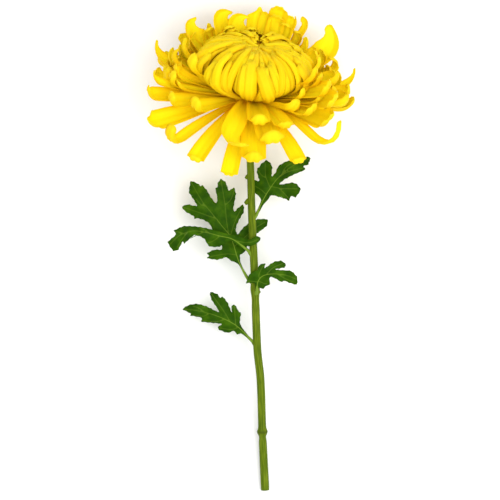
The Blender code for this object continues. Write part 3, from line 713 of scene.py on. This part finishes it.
def tube(line, radii, sides, rib_height=0.0):
    """Give the points and faces of a tapered tube along a line, closed at both ends."""
    ahead = unit(np.gradient(line, axis=0))
    side_way = unit(np.cross(ahead, (0.0, 0.0, 1.0)))
    up_way = np.cross(side_way, ahead)
    points = []
    for number, (centre, radius) in enumerate(zip(line, radii)):
        for side in range(sides):
            turn = math.tau * side / sides
            rib = rib_height * math.cos(RIBS * turn + 0.4 * math.sin(number * 0.05)) ** 3
            way = side_way[number] * math.cos(turn) + up_way[number] * math.sin(turn)
            points.append(centre + way * radius * (1 + rib))
    return points, [face[:1] + face[:0:-1] for face in ring_faces(len(line), sides)]


def bud_shape(up, turn, size, out):
    """Give the points and faces of a bud: a small pointed knob that leans up the stem."""
    turn = math.radians(turn)
    way = unit(np.array((math.cos(turn), 0.15, math.sin(turn))))
    foot = stem_at(up)[0] + way * out
    aside = unit(np.cross(way, (0.0, 1.0, 0.0)))
    along = np.cross(aside, way)
    points = []
    for share in np.linspace(0, 1, BUD_RINGS):
        radius = size * math.sin(math.pi * (0.25 + 0.72 * share))
        middle = foot + way * size * (1.5 * share - 0.6) - along * size * 0.5 * share ** 2
        for side in range(BUD_SIDES):
            turn = math.tau * side / BUD_SIDES
            points.append(middle + (aside * math.cos(turn) + along * math.sin(turn) * 1.2) * radius)
    return points, ring_faces(BUD_RINGS, BUD_SIDES)


def make_stem():
    """Build the stem with its ribs, knuckles, buds and cut end as one piece."""
    stations = np.linspace(NECK[1], STEM[-1][1], STEM_STATIONS)
    line, radii = zip(*(stem_at(station) for station in stations))
    radii = np.array(radii)
    for place_up, length, swell in KNUCKLES:
        away = stations - place_up
        radii += swell * np.exp(-(away / length) ** 2)
        radii -= GROOVE_SHARE * swell * np.exp(-(away / length + GROOVE_BELOW) ** 2)
    buds = [bud_shape(*bud) for bud in BUDS]
    points, faces = joined([tube(line, radii, STEM_SIDES, RIB_HEIGHT)] + buds)
    points[:, 2] = np.maximum(points[:, 2], STEM_GAP)
    stem = solid_from("stem_stalk", points, faces)
    # Place round the stem and along it
    values = [(side / STEM_SIDES, station / MAP_UNIT) for station in stations for side in range(STEM_SIDES)]
    for up, *_ in BUDS:
        values += [(0.5, up / MAP_UNIT)] * (BUD_RINGS * BUD_SIDES)
    set_map(stem.data, "stalk", values)
    return stem


def stem_finish():
    """Make the stem's finish: fresh green with pale ribs, a dark ring and a pale cut end."""
    material, tree, shader = new_material("stem", 0.5, 0.05)
    place, _, along = map_of(tree, "stalk")
    streak = streak_of(tree, place, (26.0, 9.0, 1.0))
    green = ramp(tree, streak, [
        (0.3, (0.050, 0.090, 0.002)),
        (0.5, (0.090, 0.140, 0.004)),
        (0.7, (0.165, 0.225, 0.010)),
    ])
    off_ring = maths(tree, "ABSOLUTE", maths(tree, "SUBTRACT", along, KNUCKLES[0][0] / MAP_UNIT))
    ring = slide(tree, off_ring, 0.0, 0.014, 0.6, 0.0)
    green = mix_colour(tree, ring, green, (0.040, 0.050, 0.004, 1))
    cut_end = STEM[-1][1] / MAP_UNIT
    cut = slide(tree, along, cut_end + 0.0005, cut_end + 0.0001, 0.0, 0.8)
    green = mix_colour(tree, cut, green, (0.42, 0.46, 0.20, 1))
    tree.links.new(green, shader.inputs["Base Color"])
    add_bump(tree, shader, streak, 0.3, 0.0003)
    return material


stem = make_stem()
stem.data.materials.append(stem_finish())
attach(stem, "root")
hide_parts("stem")

# The leaves
# Five lobed, toothed leaves, each on its own stalk.  The blade is thin and puffed up a
# little between its veins, which stand out below; the upper side is dark and the
# underside paler.
GRID = 0.6
LEAF_THICK = 0.4
# The edge's teeth and, on the leaf's grid, the step between them and how far from the
# stalk's foot they start and are full
TOOTH = 0.3
TOOTH_STEP = 5.5
TOOTH_START, TOOTH_FULL = 16.0, 28.0
# On the grid: the step between a blade's points, and how far they stay from its edge and
# its veins; the points along its veins stay closer to the edge
BLADE_STEP = 1.7
EDGE_CLEAR, VEIN_CLEAR, VEIN_EDGE_CLEAR = 0.6, 0.7, 0.5
# Steps for each stretch of an edge and of a vein
EDGE_STEPS, VEIN_STEPS = 8, 14
VEIN_SIDES = 10
# How far the blade puffs up between its veins, waves at its edge, and how far from a vein
# or the edge this reaches; the height of a vein's ridge below, and its width
PUFF, RIPPLE, REACH = 0.55, 0.3, 5.0
RIDGE, RIDGE_WIDE = 0.3, 0.9
# A stalk starts below its joint, with these radii, and is bare for a share of the leaf
FOOT_BELOW = 3.5
FOOT_RADII = (1.6, 1.25)
BARE_SHARE = 0.2
# Each leaf on a grid of GRID millimetres: the place where its stalk meets the stem, its
# height above the stem's centre line, its edge, props that give the blade's height, and
# its veins, the midrib first
LEAVES = {
    "leaf_upper_right": ((3.4, 21.5), 0.0, [
        (-1.0, 1.2), (3.7, 13), (1.7, 17.5), (-2.5, 21), (-6, 25), (-7, 31), (-4.5, 35), (0, 33),
        (1.7, 34), (-0.3, 40.5), (-0.3, 45.5), (1.7, 46.5), (3.2, 49.5), (9.2, 54), (13.7, 50.5),
        (15.2, 46.5), (14.7, 38), (18.2, 41.5), (21.2, 48), (29.7, 53), (39.7, 54), (47.7, 55),
        (49.7, 58), (53.7, 55.5), (51.7, 51), (52.2, 49.5), (46.7, 47.5), (48.2, 44), (36.7, 39),
        (27.2, 34), (22.7, 29.5), (35.2, 31.5), (40.2, 29.5), (43.7, 24), (38.7, 16.5), (33.7, 17.5),
        (32.2, 13), (27.2, 15), (14.7, 18.5), (10.7, 14), (6.2, 9), (1.2, 0.2),
    ], [
        (0, 0, 0), (5, 12, -1.5), (-5, 28, -3), (11, 23, -1.5), (21, 36, 0.5), (9, 52, -1.5),
        (36, 47, 2.5), (53, 55, -1), (43, 25, 1), (32, 15, -2.5),
    ]),
    "leaf_upper_left": ((-1.0, -1.5), 1.2, [
        (-2.6, 0.4), (-12, 7), (-19, 11.5), (-25, 8.5), (-31, 5), (-38.5, 5), (-42, 6.5), (-45.5, 12.5),
        (-49, 15), (-56, 16.5), (-65.5, 8.5), (-67.5, 10), (-72, 2), (-77, 1), (-81, 6), (-82.5, 10.5),
        (-74.5, 17.5), (-76.5, 21.5), (-67, 26), (-56, 26), (-45.5, 24.5), (-37.5, 22.5), (-28, 20),
        (-20, 17.5), (-14, 17), (-7, 14), (0, 12.5), (6, 16), (10.5, 14.5), (10, 11.5), (6, 8),
        (-1, 5.5), (-6, 7), (-1.5, 2.4),
    ], [
        (-1, 1, 0), (-9.5, 8, 2.5), (-19, 14, 5), (-30, 14, 7), (-46, 19, 7.5), (-58, 21, 5.5),
        (-72, 17, 0), (-80, 7, -5), (-38, 7, 4.5), (-68, 6, -2.5), (6, 12, 5.5), (0, 9, 5),
    ]),
    "leaf_big_left": ((-2.2, -17.7), 0.0, [
        (0.2, -2.4), (-4, 5), (-10, 15), (-18, 18.5), (-21.5, 21.5), (-30.5, 19), (-41, 20.5),
        (-39.5, 23), (-41, 26), (-34, 29.5), (-26, 30), (-29, 39), (-36, 50), (-38.5, 55),
        (-43.5, 58.5), (-49.5, 60.5), (-54, 60.5), (-55, 63), (-63, 67.5), (-66.5, 72.5),
        (-60.5, 75), (-51.5, 73.5), (-56, 81.5), (-59.5, 87), (-59, 92), (-57.5, 98.5), (-50.5, 96),
        (-47.5, 93.5), (-46, 94.5), (-41, 89), (-37, 82), (-32, 76), (-31, 81.5), (-33, 90.5),
        (-31, 92), (-30.5, 96), (-27.5, 100.5), (-23, 98), (-21.5, 95.5), (-19, 89), (-14, 92),
        (-12, 86), (-12.5, 81.5), (-14.5, 70.5), (-13.5, 68), (-10, 71.5), (-5, 75), (-4, 72.5),
        (-4, 67), (-6.5, 63), (-10, 56.5), (-12, 50.5), (-10.5, 45), (-5, 51.5), (0, 55.5), (9, 60),
        (19.5, 60), (19, 53), (8, 44.5), (1, 36), (-3, 27), (-7.5, 24), (-7.5, 17), (-4, 9),
        (1.6, -1.2),
    ], [
        (1, -2, 0), (-9, 17, -1), (-17, 41, -2.5), (19, 57, -3), (8, 48, -2.5), (-5, 72, -2),
        (-27, 98, 0), (-14, 90, -1.5), (-46, 78, 0.5), (-57, 97, -2.5), (-66, 72, -3),
        (-40, 22, -2.5), (-33, 58, -0.5),
    ]),
    "leaf_small_right": ((3.2, -24.3), 3.9, [
        (-1.2, -2), (-1.5, 4.5), (-3, 7), (-8, 7), (-11, 6.5), (-9.5, 11), (-8, 15), (-4, 18.5),
        (0.5, 20), (1.5, 24), (5.5, 26.5), (8.5, 26.5), (8, 22), (12, 25), (17.5, 28.5), (24.5, 29.5),
        (28, 27), (29.5, 24.5), (27, 22), (19, 20.5), (33.5, 19.5), (36.5, 17.5), (40, 14), (41, 10),
        (40, 5), (33.5, 6.5), (27, 9), (25, 7.5), (19, 11), (14, 13), (12.5, 11), (13, 5.5),
        (8.5, 3.5), (6.5, 1), (1.7, 2), (1.2, -2),
    ], [
        (0, -2, 0), (0, 4, 1.5), (-10, 8, 0.5), (-4, 17, 3), (8, 25, 4), (14, 13, 4.5), (24, 26, 3),
        (38, 10, -0.5), (8, 3, 2.5), (30, 18, 3),
    ]),
    "leaf_lower_left": ((0.8, -55.8), 0.0, [
        (-1.5, -0.3), (-7, 5), (-12, 8.5), (-16, 7.5), (-19, 11), (-25.5, 9), (-34, 12), (-35.5, 15),
        (-32, 18), (-42, 19), (-52.5, 20.5), (-51.5, 24), (-63, 26.5), (-63, 28.5), (-71, 33),
        (-64, 37.5), (-55.5, 38.5), (-46.5, 36), (-34.5, 30.5), (-41.5, 42), (-43, 46), (-43, 50.5),
        (-36, 48.5), (-32.5, 44.5), (-30.5, 46), (-25.5, 40), (-23, 34), (-21, 30), (-22, 35),
        (-19, 38), (-16, 34.5), (-14, 30.5), (-12, 30), (-12, 27), (-13, 20.5), (-12, 16.5),
        (-9, 12), (-4.5, 6.5), (-0.3, 1.6),
    ], [
        (0, 0, 0), (-12, 12, -0.5), (-25, 10, -3), (-35, 14, -4), (-22, 20, 0), (-38, 27, 1),
        (-56, 31, 0), (-70, 33, -4), (-43, 49, -2), (-30, 44, -0.5), (-19, 37, -2), (-52, 21, -2.5),
    ]),
}

VEINS = {
    "leaf_upper_right": [
        [(-1, -1.6), (4.7, 11.6), (11.4, 23.2), (21, 36), (35, 47.6), (53.7, 55.6)],
        [(9, 19), (4, 24), (-4, 29)],
        [(13, 26), (8.5, 38), (8, 51)],
        [(14, 27.5), (24, 25.5), (40, 25)],
        [(21, 36), (31, 42), (45, 45.5)],
        [(24, 38.6), (28, 46), (36, 52)],
        [(22, 25.5), (27, 20.5), (31, 16)],
        [(8.6, 36), (4, 39), (1, 44)],
    ],
    "leaf_upper_left": [
        [(-1.5, 1.2), (-10, 8), (-19, 13.5), (-30, 16), (-46, 20), (-58, 21), (-70, 17), (-80, 8)],
        [(-16, 12.5), (-8, 10), (0, 9.5), (9, 13)],
        [(-30, 16), (-37, 11), (-43, 9)],
        [(-46, 20), (-52, 17.5), (-60, 13.5)],
        [(-62, 20), (-68, 13), (-73, 5)],
        [(-66, 18.5), (-71, 20), (-75, 20.5)],
        [(-40, 18.7), (-44, 21.5), (-50, 24.5)],
    ],
    "leaf_big_left": [
        [(0, 0), (-9, 17), (-17, 41), (-26, 53), (-38, 68), (-46, 78), (-57, 97)],
        [(-19, 44), (-21.5, 58), (-23, 74), (-27, 99)],
        [(-31, 60), (-46, 65.5), (-65, 72)],
        [(-18, 41), (-15, 52), (-12, 60), (-7, 70)],
        [(-13, 33), (-4, 41), (6, 50), (17, 57)],
        [(-11.5, 24), (-22, 25), (-40, 22)],
        [(-42, 73), (-47, 74.5), (-52, 80)],
        [(-23, 74), (-17, 80), (-14, 89)],
    ],
    "leaf_small_right": [
        [(0, -1), (1, 8), (6, 14), (16, 16), (28, 15), (39, 11)],
        [(1, 8), (-4, 8.5), (-9, 9)],
        [(3, 11), (2, 15), (6, 24)],
        [(9, 15), (16, 22), (26, 26.5)],
        [(1.5, 9), (7, 6.5), (10.5, 6)],
        [(20, 16), (27, 12), (36, 8)],
    ],
    "leaf_lower_left": [
        [(0, 0), (-12, 12.5), (-22.5, 20), (-38.5, 27), (-56, 31.5), (-70, 33)],
        [(-22.5, 20), (-30, 32), (-41.5, 48)],
        [(-17, 16.5), (-18, 26), (-18.5, 36)],
        [(-15, 14.5), (-22, 12.5), (-33, 14)],
        [(-28, 22.5), (-38, 20.5), (-51, 21.5)],
        [(-44, 28.5), (-50, 26), (-60, 27)],
        [(-48, 29.5), (-54, 34), (-60, 36)],
    ],
}


def curve_through(points, fine, closed=False, pull=0.5):
    """Give a line through points, with a number of steps for each stretch; pull 0.5 is smoothest."""
    points = [np.array(point, dtype=float) for point in points]
    count = len(points)
    line = []
    for number in range(count if closed else count - 1):
        near = [number + k for k in (-1, 0, 1, 2)]
        a, b, c, d = (points[k % count if closed else min(max(k, 0), count - 1)] for k in near)
        start, end = pull * (c - a), pull * (d - b)
        bend = 3 * (c - b) - 2 * start - end
        for step in range(fine):
            t = step / fine
            line.append(b + t * (start + t * (bend + t * (2 * (b - c) + start + end))))
    if not closed:
        line.append(points[-1])
    return np.array(line)


def distance_to(points, line, closed=False):
    """Give the distance from each point to a line of short stretches."""
    ends = np.roll(line, -1, axis=0) if closed else line[1:]
    starts = line if closed else line[:-1]
    best = np.full(len(points), 1e9)
    for start, end in zip(starts, ends):
        run = end - start
        t = np.clip((points - start) @ run / max(run @ run, 1e-9), 0, 1)
        best = np.minimum(best, np.linalg.norm(points - start - t[:, None] * run, axis=1))
    return best


def distance_to_any(points, lines):
    """Give the distance from each point to the nearest of several lines."""
    return np.min([distance_to(points, line) for line in lines], axis=0)


def within(points, line):
    """Tell which points lie inside a closed line."""
    hit = np.zeros(len(points), dtype=bool)
    for a, b in zip(line, np.roll(line, -1, axis=0)):
        if a[1] != b[1]:
            crosses = (a[1] > points[:, 1]) != (b[1] > points[:, 1])
            hit ^= crosses & (points[:, 0] < a[0] + (points[:, 1] - a[1]) / (b[1] - a[1]) * (b[0] - a[0]))
    return hit


def leaf_outline(edge):
    """Give a leaf's outline through its edge points, with small teeth beyond its stalk."""
    outline = curve_through(edge, EDGE_STEPS, closed=True, pull=0.3)
    run = np.cumsum(np.linalg.norm(outline - np.roll(outline, 1, axis=0), axis=1))
    ahead = np.roll(outline, -1, axis=0) - np.roll(outline, 1, axis=0)
    outside = unit(np.column_stack([-ahead[:, 1], ahead[:, 0]]))
    tooth = TOOTH * (0.7 - 2 * np.abs(np.sin(math.pi * run / TOOTH_STEP)))
    tooth *= smooth(np.linalg.norm(outline, axis=1), TOOTH_START, TOOTH_FULL)
    return outline + outside * tooth[:, None]


def blade_spots(outline, veins):
    """Spread points over a blade in even rows, clear of its edge, and along its veins."""
    low, high = outline.min(axis=0), outline.max(axis=0)
    rows = []
    for row, y in enumerate(np.arange(low[1], high[1], BLADE_STEP * 0.87)):
        x = np.arange(low[0] + (row % 2) * BLADE_STEP / 2, high[0], BLADE_STEP)
        rows.append(np.column_stack([x, np.full(len(x), y)]))
    spread = np.concatenate(rows)
    clear = distance_to(spread, outline, closed=True) > EDGE_CLEAR
    clear &= distance_to_any(spread, veins) > VEIN_CLEAR
    ribs = np.concatenate(veins)
    inside = within(ribs, outline) & (distance_to(ribs, outline, closed=True) > VEIN_EDGE_CLEAR)
    return np.concatenate([spread[within(spread, outline) & clear], ribs[inside]])


def leaf_height(points, props, vein_near, edge_near):
    """Give the blade's height: its props, puffed up between the veins and waved at the edge."""
    total = np.zeros(len(points))
    weight = np.zeros(len(points))
    for x, y, rise in props:
        near = 1.0 / ((points[:, 0] - x) ** 2 + (points[:, 1] - y) ** 2 + 4.0) ** 1.5
        total += near * rise
        weight += near
    puff = PUFF * smooth(vein_near, 0, REACH)
    ripple = RIPPLE * np.sin(0.55 * points[:, 0] + 0.7 * points[:, 1]) * (1 - smooth(edge_near, 0, REACH))
    return total / weight + puff + ripple - 0.25


def blade_shape(outline, veins, props):
    """Give a blade's points, its faces, each point's place on the grid and nearness to veins."""
    spots = np.concatenate([outline, blade_spots(outline, veins)])
    edge_loop = list(range(len(outline)))
    flat, _, triangles, *_ = delaunay_2d_cdt([Vector(spot) for spot in spots], [], [edge_loop], 1, 0.001)
    flat = np.array([tuple(point) for point in flat])
    edge_near = distance_to(flat, outline, closed=True)
    vein_near = distance_to_any(flat, veins)
    thick = LEAF_THICK * (0.55 + 0.45 * smooth(edge_near, 0, 2.0))
    ridge = RIDGE * np.exp(-(vein_near / RIDGE_WIDE) ** 2)
    upper = np.column_stack([flat * GRID, leaf_height(flat, props, vein_near, edge_near)])
    lower = upper.copy()
    upper[:, 2] += thick / 2
    lower[:, 2] -= thick / 2 + ridge
    size = len(flat)
    faces = []
    edges = set()
    for triangle in triangles:
        faces.append(tuple(triangle))
        faces.append(tuple(corner + size for corner in reversed(triangle)))
        edges.update(zip(triangle, triangle[1:] + triangle[:1]))
    for start, end in sorted(edges):
        if (end, start) not in edges:
            faces.append((end, start, start + size, end + size))
    return np.concatenate([upper, lower]), faces, flat, vein_near


def vein_line(number, veins, outline, props):
    """Give a vein's line along the blade in millimetres, and its radii; 0 is the midrib."""
    line = veins[number]
    share = np.linspace(0, 1, len(line))
    if number:
        radii = 0.34 * (1 - share) ** 0.7 + 0.06
        sunk = 0.75 * radii
    else:
        run = np.linalg.norm(line - line[0], axis=1)
        bare = BARE_SHARE * np.linalg.norm(outline, axis=1).max()
        radii = 0.95 - 0.55 * smooth(run, 0, bare) - 0.3 * share
        sunk = radii * 0.45 * smooth(run / bare, 0.4, 0.7)
    height = leaf_height(line, props, distance_to_any(line, veins), distance_to(line, outline, closed=True))
    return np.column_stack([line * GRID, height - sunk]), radii


def make_leaf(name):
    """Build a leaf as one piece: its blade, then its stalk and veins."""
    joint, lift, edge, props = LEAVES[name]
    base = np.array((*joint, stem_at(joint[1])[0][2] + lift))
    outline = leaf_outline(edge)
    length = np.linalg.norm(outline, axis=1).max()
    veins = [curve_through(vein, VEIN_STEPS) for vein in VEINS[name]]
    points, faces, flat, vein_near = blade_shape(outline, veins, props)

    def fading(spots):
        return 0.07 * (np.linalg.norm(spots, axis=1) / length) ** 2

    def noted(midrib_near, near, spots, side):
        near = np.full(len(spots), near)
        side = np.full(len(spots), side)
        return np.column_stack([midrib_near, near, spots / 100, side, 0 * side])

    # Each point's nearness to the midrib and to any vein, its place on the leaf, and
    # whether it is above, below or on a vein
    midrib_near = distance_to(flat, veins[0]) / 10 + fading(flat)
    notes = [noted(midrib_near, vein_near / 10, flat, side) for side in (1.0, 0.0)]
    parts = [(points + base, faces)]
    for number, line in enumerate(veins):
        track, radii = vein_line(number, veins, outline, props)
        track = track + base
        if not number:
            foot = stem_at(joint[1] - FOOT_BELOW)[0]
            track = np.concatenate([[foot, (foot + track[0] * 2) / 3], track])
            radii = np.concatenate([FOOT_RADII, radii])
            line = np.concatenate([line[:1], line[:1], line])
        paler = np.full(len(line), 0.3) if number else fading(line)
        parts.append(tube(track, radii, VEIN_SIDES))
        notes.append(np.repeat(noted(paler, 0.0, line, 0.8), VEIN_SIDES, axis=0))
    leaf = solid_from(name + "_blade", *joined(parts))
    notes = np.concatenate(notes)
    for column, map_name in ((0, "veins"), (2, "blade"), (4, "side")):
        set_map(leaf.data, map_name, notes[:, column:column + 2])
    return leaf


def leaf_finish():
    """Make the leaves' finish: dark above, paler below, with pale veins and a fine net."""
    material, tree, shader = new_material("leaf", 0.5, 0.03)
    _, midrib, vein = map_of(tree, "veins")
    place, _, _ = map_of(tree, "blade")
    _, side, _ = map_of(tree, "side")
    mottle = add_node(tree, "TexNoise", Vector=place, Scale=9.0, Detail=4.0)
    dark = ramp(tree, mottle.outputs["Fac"], [
        (0.3, (0.013, 0.050, 0.001)),
        (0.5, (0.024, 0.078, 0.001)),
        (0.7, (0.046, 0.120, 0.002)),
    ])
    under = mix_colour(tree, side, (0.12, 0.23, 0.06, 1), dark)
    fine = slide(tree, vein, 0.0, 0.06, 0.3, 0.0)
    main = slide(tree, midrib, 0.015, 0.06, 0.85, 0.0)
    colour = mix_colour(tree, maths(tree, "MAXIMUM", fine, main), under, (0.17, 0.27, 0.025, 1))
    tree.links.new(colour, shader.inputs["Base Color"])
    net = add_node(tree, "TexVoronoi", Vector=place, Scale=85.0)
    net.feature = "DISTANCE_TO_EDGE"
    add_bump(tree, shader, slide(tree, net.outputs["Distance"], 0.0, 0.3), 0.12, 0.0002)
    return material


leaf_green = leaf_finish()
for leaf_name in LEAVES:
    leaf = make_leaf(leaf_name)
    leaf.data.materials.append(leaf_green)
    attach(leaf, "root")
    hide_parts(leaf_name)

# The floor, the lights and the camera
# A plain pale floor under the flower, soft daylight from all round, a large soft lamp
# from the right and a weaker one, and a long lens straight above, as the photo was taken.
FLOOR_HALF = 1500.0
FLOOR_BELOW = 0.05
# In metres: what the lamps face, and the camera's place
LAMPS_FACE = Vector((0, 0.05, 0.04))
CAMERA_PLACE = (-0.00096, -0.0003, 5.045)
DAYLIGHT = 0.9


def make_floor():
    """Lay the floor just under the flower."""
    corners = [(-1, -1), (1, -1), (1, 1), (-1, 1)]
    points = np.array([(x * FLOOR_HALF, y * FLOOR_HALF, -FLOOR_BELOW) for x, y in corners])
    floor = solid_from("floor", points, [(0, 1, 2, 3)])
    material, _, shader = new_material("floor", 0.9, 0.1)
    shader.inputs["Base Color"].default_value = (0.9, 0.9, 0.9, 1)
    floor.data.materials.append(material)


def make_lamp(name, place, size, power):
    """Hang a square lamp that faces the flower's middle."""
    light = bpy.data.lights.new(name, "AREA")
    light.size = size
    light.energy = power
    lamp = add_object(name, light)
    lamp.location = place
    lamp.rotation_euler = (LAMPS_FACE - Vector(place)).to_track_quat("-Z", "Y").to_euler()


def make_daylight():
    """Light the flower evenly from all round."""
    world = bpy.data.worlds.new("daylight")
    world.use_nodes = True
    sky = world.node_tree.nodes["Background"]
    sky.inputs["Color"].default_value = (1, 1, 1, 1)
    sky.inputs["Strength"].default_value = DAYLIGHT
    bpy.context.scene.world = world


def make_camera():
    """Set the camera above the flower, with the photo's frame of 300 mm."""
    lens = bpy.data.cameras.new("camera")
    lens.sensor_width = 36.0
    lens.lens = 600.0
    lens.clip_end = 20.0
    camera = add_object("camera", lens)
    camera.location = CAMERA_PLACE
    bpy.context.scene.camera = camera


make_floor()
make_daylight()
make_lamp("key", (0.5, -0.15, 1.2), 0.8, 9.0)
make_lamp("fill", (-0.15, 0.25, 1.4), 1.0, 6.0)
make_camera()
bpy.context.scene.view_settings.view_transform = "Standard"
